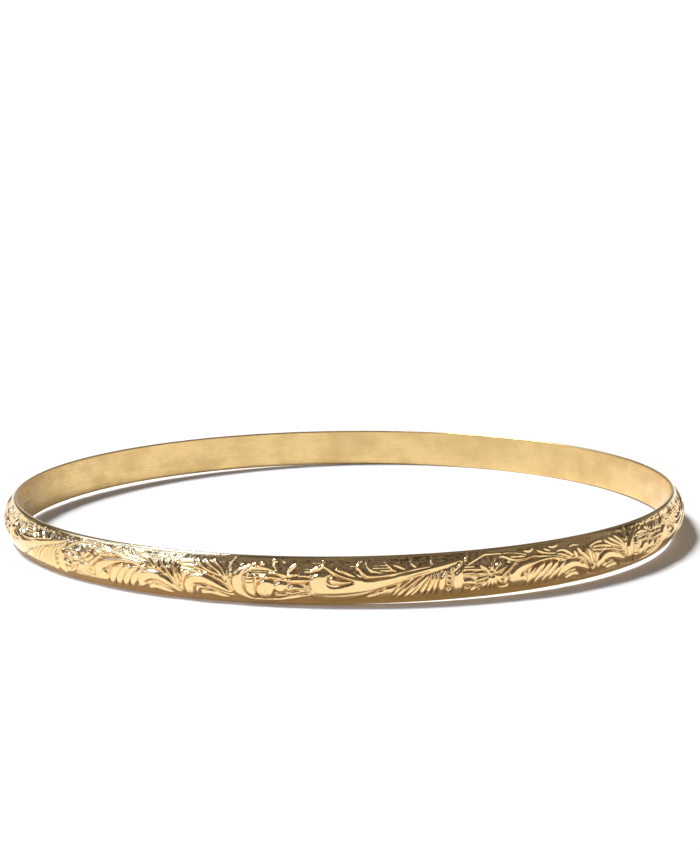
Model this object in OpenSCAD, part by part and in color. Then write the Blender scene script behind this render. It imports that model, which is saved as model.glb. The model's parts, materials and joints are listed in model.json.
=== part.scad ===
// Closed slip-on bangle in gold-filled half-round pattern wire.
// A brass core wire lies inside a gold sleeve, and the strip is bent round
// until its two ends meet in one soldered butt joint on the -X side.
// +Z is the bangle's axis, and the bangle rests on the rim at z = 0.

/* [Band] */
// Inside diameter, which is the opening that the hand goes through
inside_d = 65; // [56:0.5:72]
// Width of the band, from rim to rim
band_w = 4; // [3.2:0.1:6]
// Thickness of the band at the crown of its dome
crown_t = 1.35; // [1.2:0.05:1.8]
// Thickness of the band at its two rims
rim_t = 0.35; // [0.3:0.05:0.5]
// Size of the chamfer that softens the two inner edges against the wrist
inner_chamfer = 0.1; // [0.05:0.01:0.12]

/* [Gold sleeve] */
// Thickness of the gold on the flat side, against the wrist
flat_gold_t = 0.1; // [0.05:0.01:0.12]
// Thickness of the gold at the two rims
rim_gold_t = 0.15; // [0.1:0.01:0.2]
// Depth of gold above the core at the crown, which holds the rolled ornament
crown_gold_t = 0.3; // [0.2:0.05:0.4]

/* [Soldered joint] */
// Thickness of the film of solder between the two ends of the strip
joint_t = 0.1; // [0.06:0.02:0.2]

/* [Hidden] */
$fn = 180;
inside_r = inside_d / 2;
core_w = band_w - 2 * rim_gold_t;
core_rim_t = rim_t - 2 * flat_gold_t;
core_crown_t = crown_t - flat_gold_t - crown_gold_t;
overcut = 1;

// Radius of the arc that rises by rise over half of a chord.
function dome_radius(chord, rise) = (pow(chord / 2, 2) + pow(rise, 2)) / (2 * rise);

// Half-round section standing on y = 0, with its flat side at x = 0.
module half_round(width, rim, crown) {
    arc_r = dome_radius(width, crown - rim);
    intersection() {
        square([crown, width]);
        translate([crown - arc_r, width / 2]) circle(r = arc_r);
    }
}

// Section of the whole band, with the two edges of its flat side chamfered.
module band_section() {
    difference() {
        half_round(band_w, rim_t, crown_t);
        for (edge_y = [0, band_w])
            translate([0, edge_y]) rotate(45)
                square(inner_chamfer * sqrt(2), center = true);
    }
}

// Section of the brass core, which lies inside the band with gold on every side.
module core_section() {
    translate([flat_gold_t, rim_gold_t]) half_round(core_w, core_rim_t, core_crown_t);
}

// Turns a section, given from its flat side outwards, into a full ring.
module ring() {
    rotate_extrude() translate([inside_r, 0]) children();
}

// The slot on the -X side where the two ends of the strip meet.
module joint_gap() {
    translate([-inside_r - crown_t - overcut, -joint_t / 2, -overcut])
        cube([crown_t + 2 * overcut, joint_t, band_w + 2 * overcut]);
}

module core_wire() {
    color("#b08d4c") difference() {
        ring() core_section();
        joint_gap();
    }
}

module gold_sleeve() {
    color("#e3b566") difference() {
        ring() difference() {
            band_section();
            core_section();
        }
        joint_gap();
    }
}

module solder_joint() {
    color("#f0d79a") intersection() {
        ring() band_section();
        joint_gap();
    }
}

core_wire();
gold_sleeve();
solder_joint();
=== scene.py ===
# %% [markdown]
# # A gold-filled pattern bangle
#
# The real bangle is a strip of half-round wire. A brass core carries a thin skin of gold, a pair of
# engraved rolls has pressed scrolls, leaves and flowers into its domed side, and the strip has been
# bent round until its ends met and were soldered. This lesson draws the pattern first, as the engraver
# of the rolls does. Then it makes the section, bends one repeat of the strip, copies it round the wrist
# up to the joint, and presses the pattern last. The imported CAD model gives the sizes, so it is loaded
# first.

# %% Load the imported model
import json
import math

import bpy
import numpy as np
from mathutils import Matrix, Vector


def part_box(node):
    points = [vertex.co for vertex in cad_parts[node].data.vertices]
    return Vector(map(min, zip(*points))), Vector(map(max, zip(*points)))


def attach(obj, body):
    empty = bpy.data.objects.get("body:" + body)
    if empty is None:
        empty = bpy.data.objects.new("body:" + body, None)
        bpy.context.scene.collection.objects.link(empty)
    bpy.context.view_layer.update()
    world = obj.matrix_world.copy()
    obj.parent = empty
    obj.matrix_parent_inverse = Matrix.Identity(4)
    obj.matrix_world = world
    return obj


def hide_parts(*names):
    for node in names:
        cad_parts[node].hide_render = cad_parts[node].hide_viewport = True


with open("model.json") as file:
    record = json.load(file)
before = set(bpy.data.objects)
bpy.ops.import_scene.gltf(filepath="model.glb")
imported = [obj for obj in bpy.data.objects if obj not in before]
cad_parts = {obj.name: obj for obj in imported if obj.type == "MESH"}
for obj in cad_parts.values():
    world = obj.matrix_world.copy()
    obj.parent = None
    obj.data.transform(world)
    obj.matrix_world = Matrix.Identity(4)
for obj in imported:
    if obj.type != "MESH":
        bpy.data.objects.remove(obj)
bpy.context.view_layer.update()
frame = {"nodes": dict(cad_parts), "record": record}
MM = 0.001
print("CAD nodes:", sorted(frame["nodes"]))

# %% [markdown]
# ## Sizes
#
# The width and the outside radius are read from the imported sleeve, and the radius of the wrist
# opening from its mount. The thickness of the rims and the chamfer inside them show in no box, so they
# are repeated here. Together they give the dome, which is one arc, as the draw plate left it.

# %% The band's section, in metres
sleeve_low, sleeve_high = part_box("gold_sleeve")
mounts = {mount["name"]: mount for mount in frame["record"]["mounts"]}
inside_r = mounts["wrist_opening"]["dims"]["r_mm"] * MM
outside_r = max(sleeve_high[0], sleeve_high[1], -sleeve_low[0], -sleeve_low[1])
width = sleeve_high[2] - sleeve_low[2]
joint_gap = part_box("solder_joint")[1][1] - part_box("solder_joint")[0][1]
rim = 0.35 * MM
chamfer = 0.1 * MM
crown = outside_r - inside_r
rise = crown - rim
dome_r = (width**2 / 4 + rise**2) / (2 * rise)
dome_centre_r = outside_r - dome_r
dome_half_angle = math.asin(width / 2 / dome_r)
across = 2 * dome_half_angle * dome_r
print(f"dome radius {dome_r / MM:.3f} mm, {across / MM:.3f} mm across its arc")

# %% [markdown]
# ## The camera
#
# The bangle is seen from a little above the table, from about two and a half diameters away: close
# enough to show the pattern and far enough to keep the ring round. A longer lens from further off would
# flatten the ring, and a shorter one from nearer would stretch its front. The camera sits over the -Y
# side. It looks down less steeply than it stands, which puts the bangle below the middle of the frame.

# %% Place the camera
camera_distance = 173.9 * MM
camera_height_angle = math.radians(12.1)
camera_look_down = math.radians(8.9)
camera_turn = 0.0039
camera_roll = 0.0116
camera_lens_mm = 72.4

camera_data = bpy.data.cameras.new("camera")
camera_data.lens = camera_lens_mm
camera_data.sensor_width = 36
camera_data.clip_start = 0.01
camera_data.clip_end = 50
camera = bpy.data.objects.new("camera", camera_data)
bpy.context.scene.collection.objects.link(camera)
camera.location = (
    0,
    -camera_distance * math.cos(camera_height_angle),
    camera_distance * math.sin(camera_height_angle),
)
camera.rotation_mode = "ZYX"
camera.rotation_euler = (math.pi / 2 - camera_look_down, -camera_turn, -camera_roll)
bpy.context.scene.camera = camera
bpy.context.scene.view_settings.view_transform = "Standard"
print(f"camera {camera_distance / MM:.0f} mm away, with a {camera_lens_mm} mm lens")

# %% [markdown]
# ## Drawing the pattern
#
# On the mill the pattern is a sunk drawing on a steel roll, and every turn of the roll prints the same
# repeat. Here the repeat is a sheet of heights, with 0 for the ground and 1 for the tops of the leaves.
# It could be sculpted with a brush, but strokes written down as a few listed points stay sharp and
# are easy to correct. The sheet has its own units of about a millimetre. It is drawn a little shorter
# and higher than the pattern is, and is stretched to fit when it is laid on the dome.

# %% The drawing sheet
repeat = 33.5
repeat_on_bangle = 37.9 * MM
steps_along = 744
steps_up = 100
sheet_up = 4.75
along = np.arange(steps_along) * repeat / steps_along
up = np.linspace(0, sheet_up, steps_up + 1)
step_along = repeat / steps_along
step_up = up[1]
sheet = np.zeros((steps_along, steps_up + 1))
print(f"an empty sheet of {steps_along} by {steps_up} steps, each {step_along:.3f} by {step_up:.3f}")

# %% [markdown]
# ### Strokes
#
# Each given point is (distance along, distance up, half width), and a smooth curve is passed through
# them. For every place near the curve, the stroke tells how far it lies inside the edge. The sheet has
# no ends, so a stroke that runs off the right comes in again at the left, as it does on the roll.

# %% Find where a stroke lies
thinnest = 0.01


def smooth_path(points, pieces=10):
    """A smooth curve through given points, as rows of along, up and half width."""
    p = np.array(points, float)
    p = np.vstack([2 * p[0] - p[1], p, 2 * p[-1] - p[-2]])
    t = np.linspace(0, 1, pieces, endpoint=False)[:, None]
    spans = []
    for a, b, c, d in zip(p, p[1:], p[2:], p[3:]):
        bend = (2 * a - 5 * b + 4 * c - d) * t**2 + (3 * b - a - 3 * c + d) * t**3
        spans.append((2 * b + (c - a) * t + bend) / 2)
    path = np.vstack([*spans, p[-2:-1]])
    path[:, 2] = np.maximum(path[:, 2], thinnest)
    return path


def stroke(points):
    """Where a stroke lies, how far inside its edge each place there is, and its half width."""
    points = [points] if len(np.shape(points)) == 1 else points
    path = smooth_path(points) if len(points) > 1 else np.array([points[0], points[0]], float)
    reach = path[:, 2].max()
    i = np.arange(
        math.floor((path[:, 0].min() - reach) / step_along),
        math.ceil((path[:, 0].max() + reach) / step_along) + 1,
    )
    j = np.arange(
        max(0, math.floor((path[:, 1].min() - reach) / step_up)),
        min(steps_up, math.ceil((path[:, 1].max() + reach) / step_up)) + 1,
    )
    x, y = np.meshgrid(i * step_along, j * step_up, indexing="ij")
    inside = np.full(x.shape, -repeat)
    half_width = np.full(x.shape, thinnest)
    for (ax, ay, aw), (bx, by, bw) in zip(path, path[1:]):
        long2 = max((bx - ax) ** 2 + (by - ay) ** 2, 1e-12)
        t = np.clip(((x - ax) * (bx - ax) + (y - ay) * (by - ay)) / long2, 0, 1)
        w = aw + t * (bw - aw)
        depth = w - np.hypot(x - ax - t * (bx - ax), y - ay - t * (by - ay))
        nearer = depth > inside
        inside[nearer] = depth[nearer]
        half_width[nearer] = w[nearer]
    return np.ix_(i % steps_along, j), inside, half_width


trial_curve = smooth_path([(0, 0, 0.1), (1, 1, 0.1), (2, 1, 0.1)])
print("three points make a curve of", len(trial_curve))

# %% [markdown]
# ### Leaves, grooves and clearings
#
# Three tools are enough for the whole drawing. `leaf` raises a rounded stroke, `groove` cuts one, and
# `clear` takes an area back to the ground so that something else can be drawn there. A thin leaf stands
# a little lower than a broad one, because less metal flows into the narrow lines of the roll.

# %% The three tools
round_edge = 0.2
thin_leaf_power = 0.3
groove_power = 0.8
deepest_groove = -0.15
clear_edge = 0.12


def rounded(inside, half_width, edge):
    """0 at a stroke's edge, rising over the width of its rounded shoulder to 1 on top."""
    shoulder = np.clip(inside / np.minimum(half_width, edge), 0, 1)
    return 1 - (1 - shoulder) ** 2


def leaf(*points, top=1.0):
    """Raises a rounded stroke."""
    place, inside, half_width = stroke(points)
    stand = top * np.minimum(half_width / round_edge, 1) ** thin_leaf_power
    sheet[place] = np.maximum(sheet[place], stand * rounded(inside, half_width, round_edge))


def groove(*points, depth=0.75):
    """Cuts a line with a round bottom, such as a graver leaves."""
    place, inside, half_width = stroke(points)
    cut = depth * np.clip(inside / half_width, 0, 1) ** groove_power
    sheet[place] = np.maximum(np.minimum(sheet[place], 1) - cut, deepest_groove)


def clear(*points):
    """Takes an area back to the ground."""
    place, inside, half_width = stroke(points)
    sheet[place] = np.minimum(sheet[place], 1 - rounded(inside, half_width, clear_edge))


def raised_share():
    return f"{np.mean(sheet > 0.5):.0%} of the sheet is raised"


print(raised_share())

# %% [markdown]
# ### The long sweeping leaf
#
# It begins at the left as a fat round bulb with a curled pocket in it, and runs out to the right in a
# long point. A second strand lies along its back. Grooves split its end into three strands.

# %% Draw the sweeping leaf
leaf((0.82, 2.2, 0.84), (2.0, 2.08, 0.72), (3.2, 2.05, 0.6), (4.4, 2.06, 0.44), (5.6, 2.28, 0.36),
     (7.0, 2.62, 0.36), (8.0, 2.86, 0.32), (9.0, 3.12, 0.28), (10.0, 3.38, 0.22), (11.0, 3.68, 0.14),
     (11.5, 3.92, 0.04))
leaf((0.25, 1.55, 0.3), (1.0, 1.2, 0.34), (2.0, 1.17, 0.3), (3.0, 1.27, 0.28), (4.0, 1.5, 0.24),
     (5.0, 1.85, 0.16), (6.0, 2.15, 0.08), top=0.8)
clear((1.62, 2.52, 0.42), (2.2, 2.38, 0.34), (2.9, 2.32, 0.18), (3.25, 2.26, 0.05))
leaf((1.7, 2.42, 0.27), (2.1, 2.32, 0.2), (2.6, 2.28, 0.12), (3.0, 2.28, 0.05))
groove((1.15, 2.5, 0.05), (1.32, 2.14, 0.09), (1.75, 1.98, 0.1), (2.4, 2.04, 0.09), (3.2, 2.22, 0.04))
leaf((1.1, 3.75, 0.06), (1.5, 3.38, 0.12), (1.9, 3.02, 0.15), (2.5, 2.7, 0.14), (3.3, 2.5, 0.07))
leaf((1.95, 3.42, 0.05), (2.4, 3.22, 0.12), (2.9, 2.95, 0.13), (3.5, 2.6, 0.05))
groove((2.3, 3.18, 0.03), (2.8, 2.95, 0.05), (3.3, 2.68, 0.03))
groove((1.6, 3.0, 0.05), (2.1, 2.68, 0.07), (2.7, 2.46, 0.07), (3.1, 2.38, 0.04))
leaf((3.75, 3.3, 0.1), (3.95, 3.0, 0.15), (4.28, 2.74, 0.2), (5.0, 2.7, 0.2), (6.0, 2.82, 0.18),
     (7.0, 3.02, 0.14), (8.0, 3.26, 0.1), (9.0, 3.44, 0.06))
groove((3.5, 3.05, 0.05), (3.75, 2.7, 0.08), (4.05, 2.44, 0.09), (4.6, 2.42, 0.08), (5.4, 2.52, 0.06),
       (6.3, 2.66, 0.03))
groove((5.2, 2.02, 0.03), (6.2, 2.24, 0.05), (7.2, 2.52, 0.05), (8.2, 2.8, 0.05), (9.2, 3.05, 0.05),
       (10.2, 3.32, 0.04), (10.8, 3.5, 0.03))
groove((7.4, 2.95, 0.03), (8.2, 3.1, 0.05), (9.0, 3.3, 0.05), (10.0, 3.5, 0.04), (10.7, 3.66, 0.02))
print("with the sweeping leaf,", raised_share())

# %% [markdown]
# ### Thorns along its back
#
# Each is a short stalk that stands up from the leaf and carries a small ball near the top edge.

# %% Draw the thorns
leaf((0.08, 3.2, 0.05), (0.4, 3.42, 0.14), (0.65, 3.55, 0.2), (0.88, 3.78, 0.08))
leaf((1.05, 4.28, 0.16))
leaf((1.05, 4.2, 0.08), (1.01, 3.95, 0.07), (1.0, 3.72, 0.12))
leaf((3.75, 4.36, 0.2))
leaf((3.7, 4.2, 0.1), (3.58, 3.85, 0.08), (3.56, 3.6, 0.16), (3.75, 3.3, 0.1))
leaf((5.52, 4.35, 0.18))
leaf((5.58, 4.2, 0.1), (5.75, 3.85, 0.12), (6.0, 3.5, 0.13), (6.15, 3.25, 0.14), (6.5, 3.05, 0.08))
leaf((6.2, 3.8, 0.05), (6.6, 3.6, 0.1), (7.05, 3.28, 0.05))
leaf((7.55, 4.42, 0.14))
leaf((7.53, 4.3, 0.08), (7.55, 3.95, 0.09), (7.72, 3.65, 0.12), (7.9, 3.4, 0.06))
leaf((9.12, 4.35, 0.05), (9.1, 4.0, 0.09), (9.08, 3.66, 0.07))
leaf((11.98, 4.5, 0.05), (11.85, 4.15, 0.07), (11.72, 3.82, 0.11))
leaf((4.25, 4.45, 0.05), (4.22, 3.9, 0.08), (4.45, 3.4, 0.08), (4.95, 3.1, 0.06), (5.6, 2.98, 0.04))
print("with the thorns,", raised_share())

# %% [markdown]
# ### The feathered frond under it
#
# A fan of slim leaves leans to the right, each a little steeper than the last, and ends in broad
# upright plates with a string of beads between them.

# %% Draw the frond
leaf((6.2, 1.22, 0.05), (6.6, 1.72, 0.1), (7.1, 2.12, 0.09), (7.6, 2.4, 0.04))
leaf((6.35, 0.92, 0.07), (6.72, 1.35, 0.12), (7.2, 1.82, 0.13), (7.75, 2.22, 0.1), (8.4, 2.58, 0.05))
leaf((6.95, 0.95, 0.07), (7.38, 1.38, 0.11), (7.85, 1.85, 0.12), (8.4, 2.3, 0.09), (8.8, 2.62, 0.04))
leaf((7.45, 1.1, 0.07), (7.85, 1.48, 0.11), (8.22, 1.95, 0.11), (8.7, 2.48, 0.05))
leaf((8.2, 1.1, 0.12), (8.38, 1.5, 0.17), (8.62, 2.0, 0.13), (8.95, 2.65, 0.05))
leaf((8.68, 1.15, 0.13), (8.88, 1.62, 0.17), (9.1, 2.15, 0.13), (9.3, 2.78, 0.05))
leaf((9.18, 1.15, 0.14), (9.27, 1.7, 0.17), (9.42, 2.3, 0.12), (9.7, 2.9, 0.05))
leaf((9.76, 1.12, 0.26), (9.8, 1.7, 0.28), (9.9, 2.3, 0.2), (10.2, 2.9, 0.08))
for bead_up, bead_r in ((1.38, 0.2), (1.8, 0.17), (2.16, 0.15), (2.48, 0.13)):
    leaf((10.32 + 0.08 * (bead_up - 1.38), bead_up, bead_r))
leaf((11.04, 1.2, 0.4), (11.08, 1.8, 0.41), (11.15, 2.4, 0.34), (11.25, 2.78, 0.16))
leaf((10.45, 2.62, 0.07), (10.6, 2.95, 0.1), (10.7, 3.25, 0.04))
leaf((10.95, 2.98, 0.05), (11.12, 3.25, 0.12), (11.35, 3.55, 0.09), (11.5, 3.85, 0.04))
print("with the frond,", raised_share())

# %% [markdown]
# ### The star flower under its gable
#
# Short level leaves lead to it from the left, and a straight rib rises over it and turns level, like the
# gable of a roof. The petals are spokes round a small bead.

# %% Draw the star flower
leaf((11.6, 3.06, 0.04), (12.0, 3.1, 0.07), (12.35, 3.02, 0.04))
leaf((11.55, 2.86, 0.07), (12.3, 2.82, 0.09), (12.85, 2.74, 0.04))
leaf((11.6, 2.5, 0.1), (12.0, 2.5, 0.17), (12.5, 2.36, 0.05))
leaf((11.55, 1.9, 0.2), (12.0, 1.88, 0.24), (12.45, 1.72, 0.08))
leaf((12.2, 1.22, 0.12), (12.5, 1.42, 0.14), (12.95, 1.62, 0.06))
leaf((11.65, 3.12, 0.06), (12.1, 3.5, 0.08), (12.7, 3.88, 0.08), (13.36, 4.26, 0.09))
leaf((13.36, 4.26, 0.12))
leaf((13.36, 4.26, 0.07), (14.0, 4.22, 0.06), (14.8, 4.22, 0.05))
flower_petals = (
    (13.45, 2.55, 12.85, 3.22, 0.14), (13.3, 2.32, 12.45, 2.42, 0.15), (13.35, 2.12, 12.45, 1.92, 0.13),
    (13.76, 2.62, 13.92, 3.38, 0.11), (13.98, 2.55, 14.52, 3.32, 0.15), (14.12, 2.38, 15.0, 2.78, 0.14),
    (14.05, 2.16, 14.75, 1.88, 0.13), (13.55, 2.05, 13.0, 1.3, 0.12), (13.66, 2.0, 13.4, 1.12, 0.12),
    (13.8, 2.0, 13.85, 1.1, 0.12), (13.92, 2.02, 14.28, 1.18, 0.12), (14.08, 2.08, 14.72, 1.38, 0.12),
)
for base_x, base_y, tip_x, tip_y, half in flower_petals:
    middle_x, middle_y = 0.45 * base_x + 0.55 * tip_x, 0.45 * base_y + 0.55 * tip_y
    leaf((base_x, base_y, 0.08), (middle_x, middle_y, 1.3 * half), (tip_x, tip_y, 0.04))
    groove((base_x, base_y, 0.02), (middle_x, middle_y, 0.035), (tip_x, tip_y, 0.01), depth=0.35)
leaf((13.74, 2.32, 0.17))
leaf((13.95, 3.3, 0.05), (14.05, 3.65, 0.05), (14.15, 4.0, 0.04))
leaf((14.5, 2.05, 0.05), (15.05, 2.42, 0.13), (15.45, 2.8, 0.12), (15.85, 3.2, 0.05))
leaf((14.9, 1.5, 0.1), (15.0, 1.8, 0.12), (15.1, 2.1, 0.06))
print("with the star flower,", raised_share())

# %% [markdown]
# ### Leaves over the first scroll
#
# An eye-shaped leaf lies level under the top edge, framed by two thin tendrils. A ribbon runs on from
# it along the back of the scroll.

# %% Draw the upper leaves
leaf((14.5, 3.86, 0.05), (15.1, 3.8, 0.2), (15.8, 3.72, 0.2), (16.7, 3.56, 0.04))
groove((14.85, 3.84, 0.03), (15.3, 3.79, 0.08), (15.9, 3.7, 0.07), (16.35, 3.62, 0.02))
leaf((14.6, 4.14, 0.05), (15.3, 4.13, 0.07), (16.1, 3.99, 0.07), (16.9, 3.74, 0.04))
leaf((14.78, 4.15, 0.05), (14.9, 3.8, 0.09), (15.3, 3.52, 0.1), (15.8, 3.3, 0.11), (16.4, 3.26, 0.11),
     (17.1, 3.34, 0.08), (17.7, 3.46, 0.04))
leaf((17.1, 3.5, 0.05), (17.8, 3.36, 0.16), (18.7, 3.22, 0.17), (19.5, 3.08, 0.13), (20.1, 2.9, 0.05))
leaf((17.85, 4.1, 0.06), (18.15, 3.84, 0.14), (18.6, 3.58, 0.13), (19.1, 3.46, 0.1), (19.6, 3.4, 0.05))
leaf((18.5, 4.2, 0.04), (18.75, 3.95, 0.13), (19.05, 3.75, 0.05))
leaf((16.8, 4.12, 0.1), (17.15, 4.08, 0.2), (17.5, 4.2, 0.1))
leaf((19.05, 4.25, 0.05), (19.4, 4.12, 0.14), (19.9, 4.2, 0.06))
print("with the upper leaves,", raised_share())

# %% [markdown]
# ### Three running scrolls
#
# Each scroll is a bulb that rolls over into an arch, with a leaf tucked under the arch. The first has
# a leaf of four lobes, and the other two a single smooth one.

# %% Draw the scrolls
leaf((15.8, 1.72, 0.56), (16.3, 1.55, 0.42), (16.65, 1.5, 0.22))
leaf((15.55, 2.0, 0.34), (16.2, 2.42, 0.38), (17.0, 2.72, 0.33), (18.0, 2.92, 0.26), (19.0, 2.95, 0.2),
     (19.8, 2.8, 0.12), (20.4, 2.62, 0.06))
for lobe_x, lobe_half in ((16.95, 0.36), (17.65, 0.37), (18.35, 0.37), (19.02, 0.33)):
    leaf((lobe_x - 0.1, 1.02, 0.6 * lobe_half), (lobe_x + 0.12, 1.5, lobe_half),
         (lobe_x + 0.55, 2.05, lobe_half), (lobe_x + 1.25, 2.6, 0.2))
    groove((lobe_x - 0.44, 0.92, 0.03), (lobe_x - 0.2, 1.45, 0.06), (lobe_x + 0.22, 2.0, 0.06),
           (lobe_x + 0.8, 2.5, 0.03), depth=0.6)
groove((16.1, 1.94, 0.05), (16.4, 2.06, 0.09), (16.78, 1.9, 0.07))
groove((16.65, 2.06, 0.05), (17.05, 2.34, 0.09), (17.7, 2.6, 0.09), (18.4, 2.73, 0.08),
       (19.1, 2.72, 0.07), (19.55, 2.6, 0.06), (19.85, 2.42, 0.04))

leaf((19.95, 1.45, 0.38), (20.2, 1.9, 0.4), (20.8, 2.12, 0.36), (21.5, 2.1, 0.31), (22.2, 1.84, 0.27),
     (22.8, 1.48, 0.2), (23.35, 1.08, 0.07))
leaf((20.7, 1.1, 0.2), (21.25, 1.3, 0.25), (21.95, 1.1, 0.2), (22.6, 0.86, 0.08))
groove((20.2, 1.5, 0.04), (20.75, 1.72, 0.08), (21.3, 1.7, 0.08), (21.9, 1.46, 0.08), (22.5, 1.16, 0.07),
       (23.1, 0.9, 0.03))
groove((19.6, 2.2, 0.07), (19.8, 2.42, 0.1), (20.2, 2.52, 0.08), (20.9, 2.58, 0.07), (21.5, 2.52, 0.06),
       (22.0, 2.34, 0.04))
groove((21.75, 2.2, 0.03), (22.1, 2.16, 0.07), (22.45, 2.2, 0.03))

leaf((24.15, 1.2, 0.42), (24.2, 1.75, 0.42), (24.55, 2.12, 0.38), (25.15, 2.24, 0.34), (25.9, 2.08, 0.29),
     (26.7, 1.78, 0.23), (27.5, 1.42, 0.1))
leaf((25.3, 1.2, 0.25), (26.0, 1.25, 0.25), (26.7, 1.05, 0.16), (27.3, 0.9, 0.06))
groove((23.62, 1.85, 0.05), (23.85, 2.25, 0.09), (24.25, 2.52, 0.09), (24.9, 2.67, 0.08),
       (25.5, 2.58, 0.07), (26.2, 2.3, 0.07), (26.9, 1.98, 0.07), (27.5, 1.62, 0.06), (27.85, 1.44, 0.03))
groove((24.35, 1.68, 0.04), (24.72, 1.88, 0.08), (24.98, 1.68, 0.06), (25.4, 1.78, 0.07),
       (26.2, 1.6, 0.08), (26.9, 1.34, 0.06), (27.3, 1.18, 0.03))
print("with the scrolls,", raised_share())

# %% [markdown]
# ### Palmette and fan
#
# Small leaves stand in a row on the back of the second scroll. Over the third, three long leaves fan
# out from one point beside the crescent, with three shorter ones to the left of them.

# %% Draw the palmette and the fan
leaf((19.5, 3.28, 0.04), (20.0, 3.22, 0.11), (20.4, 3.0, 0.13), (20.92, 2.72, 0.06))
leaf((19.7, 3.62, 0.04), (20.1, 3.66, 0.08), (20.45, 3.55, 0.12), (20.75, 3.3, 0.13), (21.1, 2.92, 0.08))
leaf((21.36, 3.5, 0.05), (21.46, 3.2, 0.13), (21.55, 2.76, 0.13))
leaf((21.75, 3.6, 0.05), (21.94, 3.28, 0.13), (22.1, 2.88, 0.08))
leaf((22.42, 3.58, 0.05), (22.48, 3.2, 0.12), (22.42, 2.8, 0.1))
leaf((21.0, 3.86, 0.04), (21.4, 3.96, 0.07), (22.0, 3.83, 0.04))
leaf((21.95, 3.1, 0.05), (22.3, 2.8, 0.16), (22.65, 2.35, 0.17), (22.95, 1.85, 0.07))
leaf((22.95, 3.6, 0.13), (22.98, 3.0, 0.16), (23.05, 2.4, 0.14), (23.3, 1.75, 0.08))
leaf((23.25, 3.0, 0.05), (23.35, 2.5, 0.1), (23.5, 2.1, 0.05))
fan_leaves = (
    ((23.55, 3.32, 0.05), (24.25, 3.28, 0.12), (24.9, 3.14, 0.12), (25.45, 2.92, 0.05)),
    ((23.55, 2.98, 0.04), (24.2, 2.88, 0.1), (24.85, 2.84, 0.05)),
    ((23.1, 3.45, 0.05), (23.6, 3.66, 0.13), (24.2, 3.76, 0.1), (24.6, 3.7, 0.04)),
    ((24.8, 4.1, 0.04), (25.05, 3.65, 0.13), (25.5, 3.2, 0.17), (26.15, 2.84, 0.14), (26.8, 2.58, 0.06)),
    ((25.42, 4.05, 0.04), (25.82, 3.65, 0.15), (26.32, 3.2, 0.17), (26.85, 2.72, 0.12), (27.1, 2.3, 0.05)),
    ((26.1, 4.1, 0.04), (26.4, 3.8, 0.12), (26.75, 3.38, 0.14), (27.02, 2.92, 0.1), (27.2, 2.4, 0.05)),
)
for fan_leaf in fan_leaves:
    leaf(*fan_leaf)
    groove(*[(x, y, 0.3 * w) for x, y, w in fan_leaf], depth=0.3)
leaf((27.3, 2.95, 0.05), (27.38, 2.3, 0.07), (27.6, 1.75, 0.06), (27.9, 1.3, 0.04))
leaf((27.95, 4.5, 0.05), (27.7, 4.05, 0.08), (27.55, 3.5, 0.08), (27.5, 3.1, 0.05))
print("with the palmette and the fan,", raised_share())

# %% [markdown]
# ### The crescent and the open flower
#
# A crescent curls round the second flower and runs on under it as a thin tail, right up to the bulb of
# the next sweeping leaf. The flower has one big round petal at its lower left, and small ones round it.

# %% Draw the crescent and the open flower
leaf((29.5, 3.94, 0.04), (28.95, 3.62, 0.13), (28.4, 3.15, 0.24), (28.08, 2.6, 0.36), (28.05, 2.0, 0.4),
     (28.25, 1.45, 0.33), (28.75, 1.05, 0.22), (29.4, 0.84, 0.16), (30.2, 0.78, 0.13), (31.2, 0.88, 0.14),
     (32.2, 1.12, 0.15), (33.1, 1.33, 0.12), (33.8, 1.4, 0.05))
leaf((29.0, 2.75, 0.22), (28.98, 2.2, 0.34), (29.05, 1.6, 0.32), (29.4, 1.1, 0.12))
groove((28.55, 2.62, 0.04), (28.5, 2.0, 0.08), (28.68, 1.5, 0.08), (29.0, 1.12, 0.07), (29.35, 0.96, 0.04))
groove((29.38, 2.6, 0.03), (29.4, 1.75, 0.06), (29.58, 1.15, 0.04))
for cut_up in (2.72, 2.48, 2.24, 2.0, 1.76):
    groove((28.66, cut_up, 0.02), (28.95, cut_up - 0.02, 0.045), (29.3, cut_up, 0.02), depth=0.45)
leaf((28.5, 2.92, 0.05), (29.0, 3.3, 0.11), (29.5, 3.5, 0.13), (30.1, 3.52, 0.13), (30.6, 3.34, 0.11),
     (31.2, 3.06, 0.05))
leaf((30.0, 1.45, 0.46), (30.2, 1.68, 0.66), (30.5, 2.0, 0.42))
groove((29.82, 1.84, 0.03), (30.08, 2.08, 0.06), (30.4, 2.22, 0.03), depth=0.5)
groove((30.12, 1.42, 0.03), (30.26, 1.78, 0.06), (30.5, 2.02, 0.03), depth=0.5)
leaf((29.8, 2.65, 0.08), (30.3, 2.64, 0.2), (30.85, 2.62, 0.18), (31.35, 2.5, 0.06))
groove((30.25, 2.56, 0.03), (30.8, 2.8, 0.05), (31.3, 2.68, 0.03))
groove((30.25, 2.32, 0.04), (30.9, 2.4, 0.08), (31.35, 2.52, 0.05))
leaf((30.5, 3.0, 0.05), (31.1, 2.96, 0.13), (31.8, 2.8, 0.1), (32.1, 2.7, 0.04))
leaf((31.6, 2.64, 0.06), (32.05, 2.82, 0.15), (32.55, 2.92, 0.05))
leaf((31.55, 2.4, 0.06), (32.2, 2.4, 0.19), (32.9, 2.42, 0.22), (33.45, 2.42, 0.12))
groove((31.6, 2.4, 0.04), (32.0, 2.22, 0.07), (32.4, 2.14, 0.03))
groove((31.6, 2.6, 0.04), (32.1, 2.78, 0.07), (32.45, 2.8, 0.03))
groove((32.85, 2.22, 0.03), (33.1, 2.18, 0.06), (33.35, 2.22, 0.03))
leaf((31.1, 1.9, 0.28), (31.4, 1.92, 0.38), (31.7, 2.02, 0.24))
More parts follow.
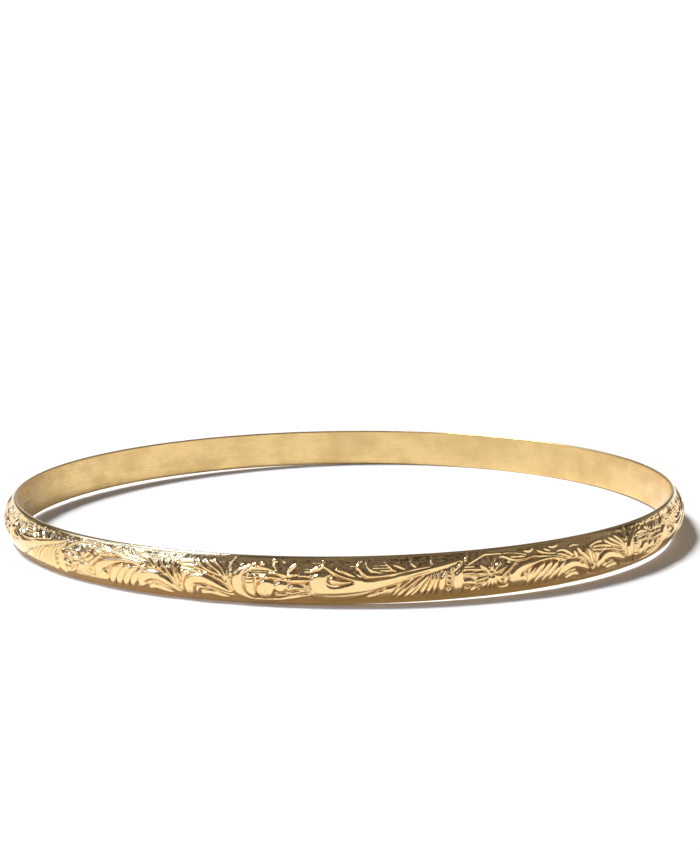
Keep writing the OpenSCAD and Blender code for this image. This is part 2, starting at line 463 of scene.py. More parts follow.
leaf((31.95, 1.78, 0.18), (32.4, 1.92, 0.2), (33.0, 1.86, 0.12))
groove((31.05, 1.62, 0.04), (31.35, 1.42, 0.07), (31.6, 1.5, 0.07), (31.95, 1.68, 0.04))
leaf((32.0, 1.42, 0.07), (32.6, 1.58, 0.13), (33.3, 1.7, 0.05))
groove((30.9, 1.12, 0.04), (31.7, 1.22, 0.07), (32.5, 1.44, 0.07), (33.1, 1.58, 0.07), (33.6, 1.6, 0.04))
leaf((29.98, 3.98, 0.2))
leaf((30.9, 4.3, 0.22))
leaf((30.9, 3.86, 0.15), (31.0, 3.55, 0.1), (31.16, 3.18, 0.1))
leaf((31.35, 4.5, 0.06), (31.6, 4.22, 0.12))
leaf((31.9, 3.14, 0.05), (32.15, 3.5, 0.13), (32.4, 3.82, 0.11), (32.55, 4.02, 0.04))
print("with the crescent and the open flower,", raised_share())

# %% [markdown]
# ### Hatching
#
# Between the motifs the ground is cut with fine level lines, so that it looks darker and the raised
# work stands out. They are drawn after the leaves, because they fill only what the leaves left free.

# %% Hatch the ground
hatch_end = 0.08
hatch_side = 0.05


def bars(left, right, low, high, pitch=0.26, stand=0.34):
    """Level hatching in the ground between the leaves."""
    x, y = np.meshgrid(along, up, indexing="ij")
    from_left = (x - left) % repeat
    long = (right - left) % repeat
    ends = np.clip(np.minimum(from_left, long - from_left) / hatch_end, 0, 1)
    ends *= np.clip(np.minimum(y - low, high - y) / hatch_side, 0, 1)
    ridge = 0.5 - 0.5 * np.cos(2 * math.pi * (y - low) / pitch)
    np.maximum(sheet, stand * ridge * ends, out=sheet)


bars(4.5, 6.1, 3.1, 4.4, pitch=0.29)
bars(2.2, 3.6, 4.28, 4.54)
bars(2.9, 3.55, 3.68, 3.94)
bars(0.1, 0.9, 4.05, 4.31)
bars(32.6, 33.2, 4.05, 4.31)
bars(33.1, 0.2, 3.12, 3.64)
bars(4.9, 6.3, 0.9, 1.9, pitch=0.25, stand=0.28)
bars(29.0, 30.4, 2.85, 3.4, pitch=0.2)
bars(28.3, 30.2, 3.5, 3.9, pitch=0.2, stand=0.25)
print(f"ground left on {np.mean(sheet < 0.1):.0%} of the sheet")

# %% [markdown]
# ### Wide empty places
#
# Along the middle of the band the wide places between the motifs stand nearly as high as the motifs, and
# only a narrow ditch round each one is sunk. The motifs are grown by a few steps to make the ditch, and
# whatever lies outside it is raised. Toward the two rims the ground stays low.

# %% Raise the wide places
motif_height = 0.3
ditch_steps = 3
wide_stand = 0.72
wide_from, wide_to = 1.0, 3.0
wide_low_slope, wide_high_slope = 0.25, 0.3
near_motif = (sheet > motif_height).astype(float)
for _ in range(ditch_steps):
    near_motif = np.maximum.reduce([near_motif, np.roll(near_motif, 1, 0), np.roll(near_motif, -1, 0)])
    near_motif[:, 1:-1] = np.maximum.reduce([near_motif[:, :-2], near_motif[:, 1:-1], near_motif[:, 2:]])
low_edge = np.clip((up - wide_from) / wide_low_slope, 0, 1)
high_edge = np.clip((wide_to - up) / wide_high_slope, 0, 1)
sheet = np.maximum(sheet, wide_stand * (1 - near_motif) * low_edge * high_edge)
print(f"ground left on {np.mean(sheet < 0.1):.0%} of the sheet")

# %% [markdown]
# ### Soft edges, uneven ground and creases
#
# As the metal flows into the roll it rounds every razor edge, and the ground comes out a little uneven.
# A light smoothing and some smoothed random heights do both. The random numbers have a fixed seed, so
# the bangle comes out the same every time. A heavier smoothing also finds the creases, which are the
# places that lie lower than what is around them. They are darkened partly as tarnish and partly as
# painted shade, and a painted shade is added along the two rims, most along the lower one. Both are
# kept on a second sheet for the metal's colour.

# %% Soften the drawing and find its creases
unevenness = 0.05
broad_unevenness = 6
# painted shade along the two rims, strongest along the lower rim, added to the creases' darkness
low_rim_shade_reach, high_rim_shade_reach = 0.35, 0.12
rim_painted_shade = 0.14


def soften(heights, times):
    """Evens out a sheet, going round from its right end to its left."""
    for _ in range(times):
        heights = (np.roll(heights, 1, 0) + 2 * heights + np.roll(heights, -1, 0)) / 4
        edged = np.pad(heights, ((0, 0), (1, 1)), mode="edge")
        heights = (edged[:, :-2] + 2 * heights + edged[:, 2:]) / 4
    return heights


uneven = np.random.default_rng(5).normal(size=sheet.shape)
uneven = soften(uneven, 2) + broad_unevenness * soften(uneven, 20)
sheet = soften(sheet, 1)
sheet += unevenness * uneven / uneven.std() * (1 - sheet)
around = soften(sheet, 14)
# painted shade: darker towards the lower rim and, more narrowly, towards the upper one
rim_shade_falloff = np.exp(-up / low_rim_shade_reach) + np.exp((up - sheet_up) / high_rim_shade_reach)
creases = np.clip(around - sheet + rim_painted_shade * rim_shade_falloff, 0, 1)
print(f"creases on {np.mean(creases > 0.2):.0%} of the sheet")

# %% [markdown]
# ## The section
#
# Half-round wire is pulled through a draw plate, which gives it its section. It starts here as a plane no
# thicker than the rim. Its two inner corners are bevelled, its inner and outer edges are divided finely,
# and its face is taken away, because only the outline is going to be turned. An outline could be typed
# as a list of points, but bevel and subdivide place them evenly from the sizes alone.

# %% Draw the section
steps_inside = 10
at_wall = inside_r + 0.01 * rim
at_dome = inside_r + 0.9 * rim


def deselect_all():
    for other in bpy.context.selected_objects:
        other.select_set(False)


def coordinates(mesh):
    flat = np.empty(3 * len(mesh.vertices), np.float32)
    mesh.vertices.foreach_get("co", flat)
    return flat.reshape(-1, 3).astype(float)


def write_coordinates(mesh, places):
    mesh.vertices.foreach_set("co", places.astype(np.float32).ravel())
    mesh.update()


def edit_edges(mesh, wanted):
    """Opens edit mode with only those edges selected whose two ends are wanted."""
    bpy.ops.object.mode_set(mode="EDIT")
    bpy.ops.mesh.select_all(action="DESELECT")
    bpy.ops.object.mode_set(mode="OBJECT")
    for edge in mesh.edges:
        edge.select = all(wanted(mesh.vertices[v].co.x) for v in edge.vertices)
    bpy.ops.object.mode_set(mode="EDIT")


def draw_section():
    """The outline of the section, still with a straight outer edge."""
    deselect_all()
    bpy.ops.mesh.primitive_plane_add(size=1, location=(0, 0, 0))
    piece = bpy.context.object
    mesh = piece.data
    corner = coordinates(mesh)
    r = inside_r + rim * (corner[:, 0] + 0.5)
    write_coordinates(mesh, np.column_stack([r, np.zeros(4), width * (corner[:, 1] + 0.5)]))
    bpy.ops.object.mode_set(mode="EDIT")
    bpy.ops.mesh.select_mode(type="VERT")
    bpy.ops.mesh.select_all(action="DESELECT")
    bpy.ops.object.mode_set(mode="OBJECT")
    for vertex in mesh.vertices:
        vertex.select = vertex.co.x < inside_r + rim / 2
    bpy.ops.object.mode_set(mode="EDIT")
    bpy.ops.mesh.bevel(affect="VERTICES", offset=chamfer * math.sqrt(2), offset_type="WIDTH", segments=2)
    edit_edges(mesh, lambda x: x > at_dome)
    bpy.ops.mesh.subdivide(number_cuts=steps_up - 1)
    edit_edges(mesh, lambda x: x < at_wall)
    bpy.ops.mesh.subdivide(number_cuts=steps_inside - 1)
    bpy.ops.mesh.select_all(action="SELECT")
    bpy.ops.mesh.delete(type="ONLY_FACE")
    bpy.ops.object.mode_set(mode="OBJECT")
    return piece


strip = draw_section()
print(f"the outline has {len(strip.data.vertices)} points")

# %% [markdown]
# ## The dome
#
# The points of the outer edge are pushed out on to the dome's arc, at even angles, so that the pattern
# is equally fine all the way up. The points of the wall are moved closer together toward the chamfers.
# Then the outline is turned to the joint, where the strip begins.

# %% Push the outer edge out to the dome
joint_angle = math.asin(joint_gap / 2 / outside_r)
first_angle = -math.pi / 2 + joint_angle


def shape_section(piece):
    outline = coordinates(piece.data)
    inner = outline[:, 0] < at_wall
    wall = width / 2 - chamfer
    share = (outline[inner, 2] - width / 2) / wall
    outline[inner, 2] = width / 2 + wall * np.sin(share * math.pi / 2)
    outer = outline[:, 0] > at_dome
    angle = dome_half_angle * (2 * outline[outer, 2] / width - 1)
    outline[outer, 0] = dome_centre_r + dome_r * np.cos(angle)
    outline[outer, 2] = width / 2 + dome_r * np.sin(angle)
    r = outline[:, 0]
    place = np.column_stack([r * math.sin(first_angle), -r * math.cos(first_angle), outline[:, 2]])
    write_coordinates(piece.data, place)


shape_section(strip)
print(f"the crown stands {crown / MM:.2f} mm over the wall")

# %% [markdown]
# ## One repeat of the strip
#
# The goldsmith bends the strip round a mandrel. Here a screw modifier without any rise turns the outline
# round the bangle's axis by one repeat of the pattern, in many thin slices, which give the pattern enough
# points to stand on. Spinning the outline in edit mode makes the same shape, but takes far longer. The
# two ends are closed, so the piece is a solid like the real strip.

# %% Bend the strip round
repeat_angle = repeat_on_bangle / outside_r


def bend_round(piece):
    bend = piece.modifiers.new("bend", "SCREW")
    bend.axis = "Z"
    bend.angle = repeat_angle
    bend.steps = steps_along
    bend.render_steps = steps_along
    bpy.ops.object.modifier_apply(modifier=bend.name)
    bpy.ops.object.mode_set(mode="EDIT")
    bpy.ops.mesh.select_all(action="DESELECT")
    bpy.ops.mesh.select_non_manifold(extend=False)
    bpy.ops.mesh.edge_face_add()
    bpy.ops.mesh.select_all(action="SELECT")
    bpy.ops.mesh.normals_make_consistent(inside=False)
    bpy.ops.object.mode_set(mode="OBJECT")


bend_round(strip)
print(f"one repeat: {len(strip.data.vertices)} points, {len(strip.data.polygons)} faces")

# %% [markdown]
# ## Laying the pattern on the dome
#
# Each point of the dome finds its place on the sheet from its angle round the bangle and its angle up
# the dome. `fit_up` matches heights on the dome, in millimetres, to heights on the sheet, and stretches
# the drawing between them. Two values are kept with each point: `pressed` is how deep the ground lies
# there, for the pressing, and the other is how dark the metal is made there, for the metal: partly
# tarnish in the hollows, and partly painted shade in the hollows and along the rims. Both fade out at
# the two rims, which the roll doesn't reach, and the marks are shallower toward the rims.

# %% Mark how deep each point will be pressed
pattern_turn = math.radians(-5.0)
low_fade = 0.3
high_fade = 0.65
shallower_at_rims = 0.3
touching = 0.001 * MM
fit_up = ((0, 0), (0.62, 1), (2.55, 2.4), (3.15, 3), (4, 4), (across / MM, 4.7))


def smooth_step(x):
    x = np.clip(x, 0, 1)
    return x * x * (3 - 2 * x)


def on_section(place):
    """Each point's angle round the bangle, angle up the dome and distance from the dome's centre."""
    up_r = np.hypot(place[:, 0], place[:, 1]) - dome_centre_r
    up_z = place[:, 2] - width / 2
    turn = np.arctan2(place[:, 0], -place[:, 1])
    return turn, np.arctan2(up_z, up_r), np.hypot(up_r, up_z)


def read_sheet(sheet, x, y):
    """What the sheet says at any place along and up it, in the sheet's own units."""
    x, y = x / step_along, y / step_up
    i, j = np.floor(x).astype(int), np.clip(np.floor(y).astype(int), 0, steps_up - 1)
    s, t = x - i, np.clip(y - j, 0, 1)
    i, k = i % steps_along, (i + 1) % steps_along
    low = sheet[i, j] * (1 - s) + sheet[k, j] * s
    high = sheet[i, j + 1] * (1 - s) + sheet[k, j + 1] * s
    return low * (1 - t) + high * t


def keep_values(mesh, name, values):
    kept = mesh.attributes.get(name) or mesh.attributes.new(name, "FLOAT", "POINT")
    kept.data.foreach_set("value", values.astype(np.float32))


def kept_values(mesh, name):
    values = np.empty(len(mesh.vertices), np.float32)
    mesh.attributes[name].data.foreach_get("value", values)
    return values


def mark_pattern(piece):
    place = coordinates(piece.data)
    turn, angle, distance = on_section(place)
    dome = (np.abs(distance - dome_r) < touching) & (np.abs(angle) < dome_half_angle * 1.001)
    x = (turn - pattern_turn) / repeat_angle * repeat
    y = (angle + dome_half_angle) * dome_r / MM
    fade = smooth_step(np.minimum(y / low_fade, (across / MM - y) / high_fade))
    on_sheet = np.interp(y, *zip(*fit_up))
    shallower = 1 - shallower_at_rims * (angle / dome_half_angle) ** 2
    pressed = np.where(dome, (1 - read_sheet(sheet, x, on_sheet)) * fade * shallower, 0)
    keep_values(piece.data, "pressed", pressed)
    # painted shade and tarnish: how dark the metal is made at each point of the dome
    keep_values(piece.data, "crease", np.where(dome, read_sheet(creases, x, on_sheet) * fade, 0))
    print(f"{np.mean(dome):.0%} of the points lie on the dome, deepest mark {pressed.max():.2f}")


mark_pattern(strip)

# %% [markdown]
# ## Faces
#
# Rolled and polished metal has no flat facets, so every face is shaded smooth except the two cut ends,
# which keep a hard edge. The inner wall was never rolled, so it gets a material slot of its own.

# %% Set the faces and mark the two ends
OUTSIDE, INSIDE = 0, 1


def set_faces(piece):
    mesh = piece.data
    faces = len(mesh.polygons)
    centre, normal = np.empty(3 * faces, np.float32), np.empty(3 * faces, np.float32)
    corners = np.empty(faces, np.int32)
    mesh.polygons.foreach_get("center", centre)
    mesh.polygons.foreach_get("normal", normal)
    mesh.polygons.foreach_get("loop_total", corners)
    centre, normal = centre.reshape(-1, 3), normal.reshape(-1, 3)
    outward = (centre[:, 0] * normal[:, 0] + centre[:, 1] * normal[:, 1]) / np.hypot(*centre[:, :2].T)
    slots = np.where(outward < -0.3, INSIDE, OUTSIDE).astype(np.int32)
    mesh.polygons.foreach_set("material_index", slots)
    mesh.polygons.foreach_set("use_smooth", corners == 4)
    end_points = {v for face in mesh.polygons if len(face.vertices) > 4 for v in face.vertices}
    for edge in mesh.edges:
        edge.use_edge_sharp = all(v in end_points for v in edge.vertices)
    return slots


print(f"{np.mean(set_faces(strip) == INSIDE):.0%} of the faces are on the inner wall")

# %% [markdown]
# ## The whole strip
#
# The pattern goes a little over five and a half times round, so five whole copies are turned into
# place one after another, and a sixth is cut off where it meets the beginning of the first. Each copy
# has its own mesh. An array modifier would make one mesh of them all, far too heavy for one piece.

# %% Copy the repeat and cut the last one
def make_active(piece):
    deselect_all()
    piece.select_set(True)
    bpy.context.view_layer.objects.active = piece


def place_repeat(number):
    piece = strip.copy()
    piece.data = strip.data.copy()
    piece.name = piece.data.name = f"sleeve_repeat_{number}"
    bpy.context.scene.collection.objects.link(piece)
    piece.rotation_euler = (0, 0, (number - 1) * repeat_angle)
    make_active(piece)
    bpy.ops.object.transform_apply(location=False, rotation=True, scale=False)
    return piece


def cut_at_joint(piece):
    make_active(piece)
    bpy.ops.object.mode_set(mode="EDIT")
    bpy.ops.mesh.select_all(action="SELECT")
    bpy.ops.mesh.bisect(
        plane_co=(0, joint_gap / 2, 0), plane_no=(0, -1, 0), use_fill=True, clear_outer=True,
        threshold=touching,
    )
    bpy.ops.object.mode_set(mode="OBJECT")


repeats = math.ceil((2 * math.pi - 2 * joint_angle) / repeat_angle)
sleeve_pieces = [place_repeat(number) for number in range(1, repeats + 1)]
cut_at_joint(sleeve_pieces[-1])
bpy.data.objects.remove(strip)
print(len(sleeve_pieces), "pieces of strip,", sum(len(p.data.polygons) for p in sleeve_pieces), "faces")

# %% [markdown]
# ## Pressing the pattern
#
# The points of the dome only move inwards, because the roll pushes the ground down and leaves the motifs
# standing at the old surface. Plain ground goes down by `press_depth` and grooves a little further, but
# nowhere as far as the brass. A bump in the material could draw the same lines, but real relief also
# changes the outline and catches the light as it should. Round the joint the goldsmith files the pattern
# away, so the marks fade out there, and so do their tarnish and painted shade.

# %% Press the pattern
press_depth = 0.2 * MM
joint_clear = 0.25 * MM
joint_fade = 1.4 * MM


def press_pattern(piece):
    mesh = piece.data
    place = coordinates(mesh)
    turn, angle, distance = on_section(place)
    from_joint = np.where(place[:, 0] < 0, np.abs(place[:, 1]), inside_r)
    filed = smooth_step((from_joint - joint_clear) / joint_fade)
    pressed = kept_values(mesh, "pressed") * filed
    keep_values(mesh, "crease", kept_values(mesh, "crease") * filed)
    down = distance - press_depth * pressed
    r = dome_centre_r + down * np.cos(angle)
    new_place = np.column_stack([r * np.sin(turn), -r * np.cos(turn), width / 2 + down * np.sin(angle)])
    moved = pressed > 0
    place[moved] = new_place[moved]
    write_coordinates(mesh, place)
    return pressed.max() * press_depth


for piece in sleeve_pieces:
    depth = press_pattern(piece)
    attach(piece, "root")
    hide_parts("gold_sleeve")
    print(f"{piece.name} is pressed {depth / MM:.2f} mm deep")

# %% [markdown]
# ## Worn metal
#
# Four metals are seen or hidden here: polished gold, the satin gold against the wrist, the solder and
# the raw brass of the core. They differ in colour and polish but wear in the same way, so the wear is
# one node group, which each material sets with named values. First come a few helpers, because adding
# and joining nodes by hand would fill this lesson many times over.

# %% Helpers for nodes
def add(tree, kind, links=(), **settings):
    """A node with its settings, and with its inputs linked or set: (input, socket or value)."""
    node = tree.nodes.new(kind)
    for name, value in settings.items():
        setattr(node, name, value)
    for name, value in links:
        if isinstance(value, bpy.types.NodeSocket):
            tree.links.new(value, node.inputs[name])
        else:
            node.inputs[name].default_value = value
    return node


def calc(tree, operation, a, b=0.0, c=0.0):
    return add(tree, "ShaderNodeMath", ((0, a), (1, b), (2, c)), operation=operation).outputs[0]


def between(tree, value, low, high, to_low=0.0, to_high=1.0):
    """A value from low to high, turned into one from to_low to to_high and held there beyond."""
    links = (("Value", value), ("From Min", low), ("From Max", high), ("To Min", to_low), ("To Max", to_high))
    return add(tree, "ShaderNodeMapRange", links).outputs["Result"]


def noise(tree, x, y, z, detail=2.0):
    point = add(tree, "ShaderNodeCombineXYZ", (("X", x), ("Y", y), ("Z", z))).outputs[0]
    links = (("Vector", point), ("Scale", 1.0), ("Detail", detail), ("Roughness", 0.55))
    return add(tree, "ShaderNodeTexNoise", links).outputs["Fac"]


def mix_colour(tree, amount, a, b):
    mixer = add(tree, "ShaderNodeMix", data_type="RGBA")
    for number, value in ((0, amount), (6, a), (7, b)):
        if isinstance(value, bpy.types.NodeSocket):
            tree.links.new(value, mixer.inputs[number])
        else:
            mixer.inputs[number].default_value = value
    return mixer.outputs[2]


print("node helpers ready")

# %% [markdown]
# ### Where a mark lies on the strip
#
# The wear group lays its marks along and across the strip in millimetres, from the angle round the
# bangle, so that a drawn line runs round the band as it would on the real strip. The one place where the
# angle jumps is the soldered joint.

# %% Open the wear group
wear = bpy.data.node_groups.new("metal_wear", "ShaderNodeTree")
for name, kind in (
    ("Colour", "Color"), ("Dull Colour", "Color"), ("Dullness", "Float"), ("Polish", "Float"),
    ("Dull Roughness", "Float"), ("Mottling", "Float"), ("Brushing", "Float"), ("Scratches", "Float"),
    ("Grain", "Float"),
):
    wear.interface.new_socket(name=name, in_out="INPUT", socket_type=f"NodeSocket{kind}")
for name, kind in (("Colour", "Color"), ("Roughness", "Float"), ("Height", "Float")):
    wear.interface.new_socket(name=name, in_out="OUTPUT", socket_type=f"NodeSocket{kind}")
given = add(wear, "NodeGroupInput").outputs
place = add(wear, "ShaderNodeTexCoord").outputs["Object"]
axes = add(wear, "ShaderNodeSeparateXYZ", ((0, place),)).outputs
angle = calc(wear, "ARCTAN2", axes[1], axes[0])
along_mm = calc(wear, "MULTIPLY", angle, outside_r / MM)
up_mm = calc(wear, "MULTIPLY", axes[2], 1 / MM)
far = calc(wear, "SQRT", calc(wear, "ADD", calc(wear, "POWER", axes[0], 2), calc(wear, "POWER", axes[1], 2)))
out_mm = calc(wear, "MULTIPLY", far, 1 / MM)
print("inputs of the wear group:", len(given) - 1)

# %% [markdown]
# ### Stains, brushing and scratches
#
# Each kind of wear is a noise stretched in its own way: broad soft stains, long fine lines from the
# brush, a small even grain, and short slanted scratches from sleeves and table tops. They could be
# painted, but noise is as fine as it needs to be at any distance, and its only seam is the joint.

# %% Draw the kinds of wear
def stretched(tree, along_scale, up_scale, out_scale, shift=0.0, detail=2.0):
    x = calc(tree, "MULTIPLY_ADD", along_mm, along_scale, shift)
    y = calc(tree, "MULTIPLY", up_mm, up_scale)
    z = calc(tree, "MULTIPLY", out_mm, out_scale)
    return noise(tree, x, y, z, detail)


def slanted_scratches(tree, slope, shift):
    """Fine lines that cross the strip at a slope, broken into short lengths."""
    across_line = calc(tree, "MULTIPLY_ADD", along_mm, slope, up_mm)
    x = calc(tree, "MULTIPLY_ADD", along_mm, 0.4, shift)
    line = noise(tree, x, calc(tree, "MULTIPLY", across_line, 9.0), calc(tree, "MULTIPLY", out_mm, 0.4), 1.0)
    near = calc(tree, "ABSOLUTE", calc(tree, "SUBTRACT", line, 0.5))
    return between(tree, near, 0.0, 0.012, 1.0, 0.0)


mottle = stretched(wear, along_scale=0.3, up_scale=0.45, out_scale=0.45, detail=3.0)
brushed = stretched(wear, along_scale=0.16, up_scale=11.0, out_scale=9.0, shift=40.0, detail=3.0)
grain = stretched(wear, along_scale=9.0, up_scale=9.0, out_scale=9.0, shift=80.0, detail=1.0)
rising = slanted_scratches(wear, slope=0.35, shift=7.0)
falling = slanted_scratches(wear, slope=-0.6, shift=19.0)
scratch = calc(wear, "MAXIMUM", rising, falling)
broken = between(wear, stretched(wear, 0.9, 1.2, 1.2, shift=60.0), 0.5, 0.62)
scratch = calc(wear, "MULTIPLY", scratch, broken)
print("wear group:", len(wear.nodes), "nodes so far")

# %% [markdown]
# ### Colour, roughness and height
#
# Stains and dullness together choose between the clean colour and the dull one, and between the polished
# and the dull roughness. Brushing and scratches then make it a little rougher, and press it in or out.

# %% Finish the wear group
stain = between(wear, mottle, 0.4, 0.68)
# on the polished gold the Dullness input is tarnish and painted shade
dulled = calc(wear, "MULTIPLY_ADD", stain, given["Mottling"], given["Dullness"])
dulled = calc(wear, "MINIMUM", dulled, 1.0)
colour = mix_colour(wear, dulled, given["Colour"], given["Dull Colour"])
span = calc(wear, "SUBTRACT", given["Dull Roughness"], given["Polish"])
rough = calc(wear, "MULTIPLY_ADD", span, dulled, given["Polish"])
rough = calc(wear, "MULTIPLY_ADD", calc(wear, "SUBTRACT", brushed, 0.5), given["Brushing"], rough)
rough = calc(wear, "MULTIPLY_ADD", calc(wear, "MULTIPLY", scratch, given["Scratches"]), 0.25, rough)
height = calc(wear, "MULTIPLY", calc(wear, "SUBTRACT", brushed, 0.5), given["Brushing"])
height = calc(wear, "MULTIPLY_ADD", scratch, calc(wear, "MULTIPLY", given["Scratches"], -0.3), height)
height = calc(wear, "MULTIPLY_ADD", calc(wear, "SUBTRACT", grain, 0.5), given["Grain"], height)
add(wear, "NodeGroupOutput", (("Colour", colour), ("Roughness", rough), ("Height", height)))
print("wear group:", len(wear.nodes), "nodes")

# %% [markdown]
# ## The metals
#
# The tops of the motifs are rubbed bright on every sleeve they touch. The narrow places beside them and
# the two rims are made dark brown: in the hollows partly as tarnish, where no cloth reaches, and partly
# as painted shade, and along the rims as painted shade. `crease` says where those are. The inner wall is
# brushed lengthwise and looks satin, and its gold is made a little darker than the outside's as painted
# shade.

# %% Make the metals
def metal(name, bump, dullness=None, **values):
    material = bpy.data.materials.new(name)
    material.use_nodes = True
    tree = material.node_tree
    shader = tree.nodes["Principled BSDF"]
    shader.inputs["Metallic"].default_value = 1.0
    worn = add(tree, "ShaderNodeGroup", node_tree=wear)
    for key, value in values.items():
        worn.inputs[key.replace("_", " ").title()].default_value = value
    if dullness:
        # painted shade and tarnish kept with each point dull the polished gold
        crease = add(tree, "ShaderNodeAttribute", attribute_name="crease").outputs["Fac"]
        tree.links.new(between(tree, crease, *dullness), worn.inputs["Dullness"])
    bumps = (("Height", worn.outputs["Height"]), ("Distance", bump * MM), ("Strength", 1.0))
    bumped = add(tree, "ShaderNodeBump", bumps).outputs["Normal"]
    tree.links.new(worn.outputs["Colour"], shader.inputs["Base Color"])
    tree.links.new(worn.outputs["Roughness"], shader.inputs["Roughness"])
    tree.links.new(bumped, shader.inputs["Normal"])
    return material


# `dullness` gives the values of `crease` where the dulling begins and where it is complete; the dull colour
# of the polished gold is the dark brown of tarnish and painted shade.
polished_gold = metal(
    "polished_gold", 0.01, dullness=(0.06, 0.4),
    colour=(0.97, 0.7, 0.33, 1), dull_colour=(0.32, 0.14, 0.06, 1), polish=0.1, dull_roughness=0.35,
    mottling=0.06, brushing=0.06, scratches=0.3, grain=0.25,
)
# painted shade: the inner wall's gold is darker than the polished gold outside; its mottling stands for real
# stains
satin_gold_painted_shade = metal(
    "satin_gold_painted_shade", 0.008,
    colour=(0.84, 0.6, 0.26, 1), dull_colour=(0.68, 0.47, 0.195, 1), polish=0.26, dull_roughness=0.4,
    mottling=0.7, brushing=0.3, scratches=0.5, grain=0.15,
)
solder = metal(
    "solder", 0.01,
    colour=(0.95, 0.79, 0.5, 1), dull_colour=(0.7, 0.52, 0.3, 1), polish=0.22, dull_roughness=0.4,
    mottling=0.6, brushing=0.1, scratches=0.4, grain=0.5,
)
raw_brass = metal(
    "raw_brass", 0.02,
    colour=(0.86, 0.64, 0.3, 1), dull_colour=(0.45, 0.27, 0.12, 1), polish=0.35, dull_roughness=0.55,
    mottling=0.8, brushing=0.6, scratches=0.2, grain=0.4,
)
print("metals:", [made.name for made in (polished_gold, satin_gold_painted_shade, solder, raw_brass)])

# %% [markdown]
# ### Putting the metals on
#
# Clearing the materials of a mesh sends all its faces back to the first slot, so the slots of the sleeve
# are set once more afterwards. The core and the solder are the CAD model's own pieces and take one metal
# each.

# %% Put the metals on
for piece in sleeve_pieces:
    piece.data.materials.clear()
    piece.data.materials.append(polished_gold)
    piece.data.materials.append(satin_gold_painted_shade)
    set_faces(piece)
for node, material in (("solder_joint", solder), ("core_wire", raw_brass)):
    mesh = frame["nodes"][node].data
    mesh.materials.clear()
    mesh.materials.append(material)
    print(node, "is", material.name)

# %% [markdown]
# ## The table
#
# Jewellery is shown on white, so the table is a pale matt sheet that is lit until it has no edge. Paper
# never lies quite flat, and neither does a worn bangle, so light passes under the band in two places.
# The bangle has to stay true to the CAD model, so the paper dips there instead, by less than half a
# millimetre. A fine grid makes the dips, and its outermost points are pulled far out.

# %% Lay the table
table_size = 0.16
table_steps = 160
table_spread = 60
dip_depth = 0.42 * MM
dip_turn = math.radians(60)
dip_narrowness = 1.2
bpy.ops.mesh.primitive_grid_add(
    x_subdivisions=table_steps, y_subdivisions=table_steps, size=table_size, location=(0, 0, 0)
)
table = bpy.context.object
table.name = "table"
place = coordinates(table.data)
turn = np.arctan2(place[:, 0], -place[:, 1])
r = np.hypot(place[:, 0], place[:, 1])
dip = (0.5 + 0.5 * np.cos(2 * (turn - dip_turn))) ** dip_narrowness
place[:, 2] = -dip_depth * dip * smooth_step(r / inside_r * 2)
outermost = np.abs(place[:, :2]).max(axis=1) > 0.499 * table_size
place[outermost, :2] *= table_spread
write_coordinates(table.data, place)
table.data.polygons.foreach_set("use_smooth", np.ones(len(table.data.polygons), bool))
print(f"the table dips {-place[:, 2].min() / MM:.2f} mm")

# %% [markdown]
# ### White paper
#
# Matt paper has hardly any shine and no colour of its own, so it takes nothing away from the gold.

# %% Make the paper
paper = bpy.data.materials.new("white_paper")
paper.use_nodes = True
paper_shader = paper.node_tree.nodes["Principled BSDF"]
paper_shader.inputs["Base Color"].default_value = (0.9, 0.9, 0.9, 1)
paper_shader.inputs["Roughness"].default_value = 0.9
paper_shader.inputs["Specular IOR Level"].default_value = 0.1
table.data.materials.append(paper)
print("the table is", paper.name)

# %% [markdown]
# ## The lamp
#
# One strong lamp stands high at the left and a little behind, and throws the shadows to the right and a
# little to the front. A sun lamp gives them the same direction all over the table, and its width of
# fifteen degrees makes them soft at the edge.

# %% Hang the lamp
lamp_strength = 3.4
lamp_width = math.radians(15)
lamp_upward = math.radians(61)
lamp_turn = math.radians(-112)
lamp = bpy.data.lights.new("key", "SUN")
lamp.energy = lamp_strength
lamp.angle = lamp_width
holder = bpy.data.objects.new("key", lamp)
bpy.context.scene.collection.objects.link(holder)
holder.rotation_euler = (math.pi / 2 - lamp_upward, 0, lamp_turn)
print(f"the lamp stands {math.degrees(lamp_upward):.0f} degrees up")

# %% [markdown]
# ## The room
#
# Polished gold shows what it reflects. The surroundings are white low down, like the table, and dim
# above that, with lighter and darker parts, because without something dark to reflect gold looks like
# yellow plastic. A bright window with a frame stands at the left and puts the sparkle there. Lamps and
# cards could be set up instead, but a few nodes are easier to move until the sparkle lies where it should.

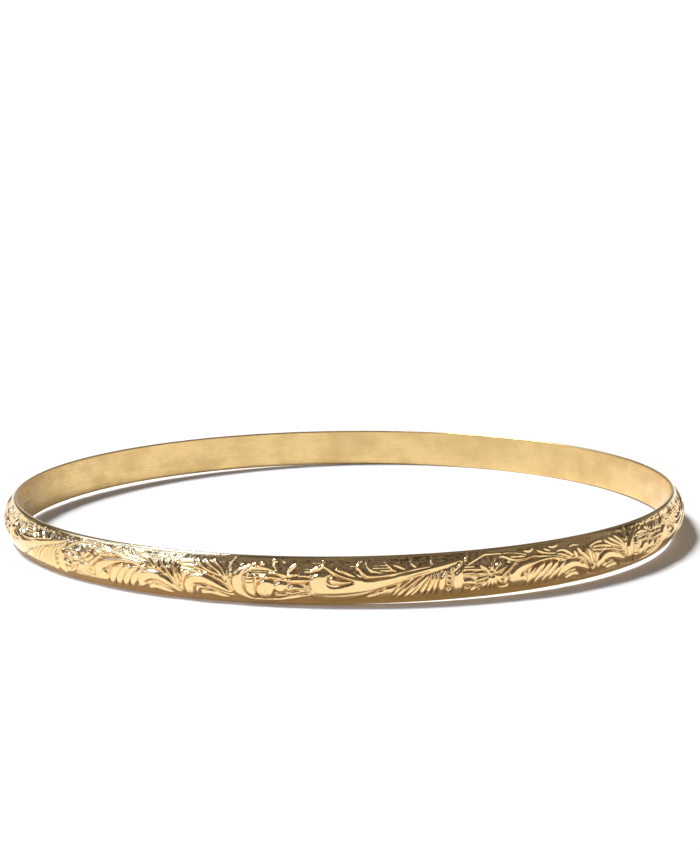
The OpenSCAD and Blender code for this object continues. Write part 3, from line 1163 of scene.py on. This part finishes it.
# %% Helpers for the window
world = bpy.data.worlds.new("studio")
bpy.context.scene.world = world
world.use_nodes = True
sky = world.node_tree
direction = add(sky, "ShaderNodeTexCoord").outputs["Generated"]
sky_axes = add(sky, "ShaderNodeSeparateXYZ", ((0, direction),)).outputs
upward = calc(sky, "ARCSINE", sky_axes[2])
sideways = calc(sky, "ARCTAN2", sky_axes[0], calc(sky, "MULTIPLY", sky_axes[1], -1.0))


def patch(tree, value, centre, half, soft):
    """1 within half of the centre, fading to 0 over soft, all in degrees."""
    away = calc(tree, "ABSOLUTE", calc(tree, "SUBTRACT", value, math.radians(centre)))
    return between(tree, away, math.radians(half), math.radians(half + soft), 1.0, 0.0)


def frame_bars(tree, value, every, half, soft):
    """0 on the bars of the window frame, 1 on the panes between, all in degrees."""
    away = calc(tree, "PINGPONG", value, math.radians(every / 2))
    return between(tree, away, math.radians(half), math.radians(half + soft))


print("window helpers ready")

# %% [markdown]
# ### The window and the walls
#
# The window is wide and rather high, with upright bars and one level bar across its middle. It is the
# brightest thing in the room and a little blue, as daylight is beside lamplight.

# %% Build the room
window_turn = -86
window_upward = 40
daylight = (1.7, 2.15, 3.5, 1)
dark_wall = (0.03, 0.026, 0.024, 1)
light_wall = (0.26, 0.24, 0.245, 1)
white_horizon = (1.05, 1.05, 1.05, 1)
horizon_height = (0.11, 0.22)
wide = patch(sky, sideways, window_turn, half=27, soft=8)
high = patch(sky, upward, window_upward, half=13, soft=8)
window = calc(sky, "MULTIPLY", wide, high)
window = calc(sky, "MULTIPLY", window, frame_bars(sky, sideways, every=14, half=1.7, soft=1.2))
window = calc(sky, "MULTIPLY", window, frame_bars(sky, upward, every=window_upward, half=1.0, soft=1.5))
walls = add(sky, "ShaderNodeTexNoise", (("Vector", direction), ("Scale", 5.0), ("Detail", 3.0)))
lighter = between(sky, walls.outputs["Fac"], 0.38, 0.62)
dim = mix_colour(sky, lighter, dark_wall, light_wall)
low_down = between(sky, upward, *horizon_height, 1.0, 0.0)
colour = mix_colour(sky, low_down, dim, white_horizon)
colour = mix_colour(sky, window, colour, daylight)
sky.links.new(colour, sky.nodes["Background"].inputs["Color"])
print("room:", len(sky.nodes), "nodes")
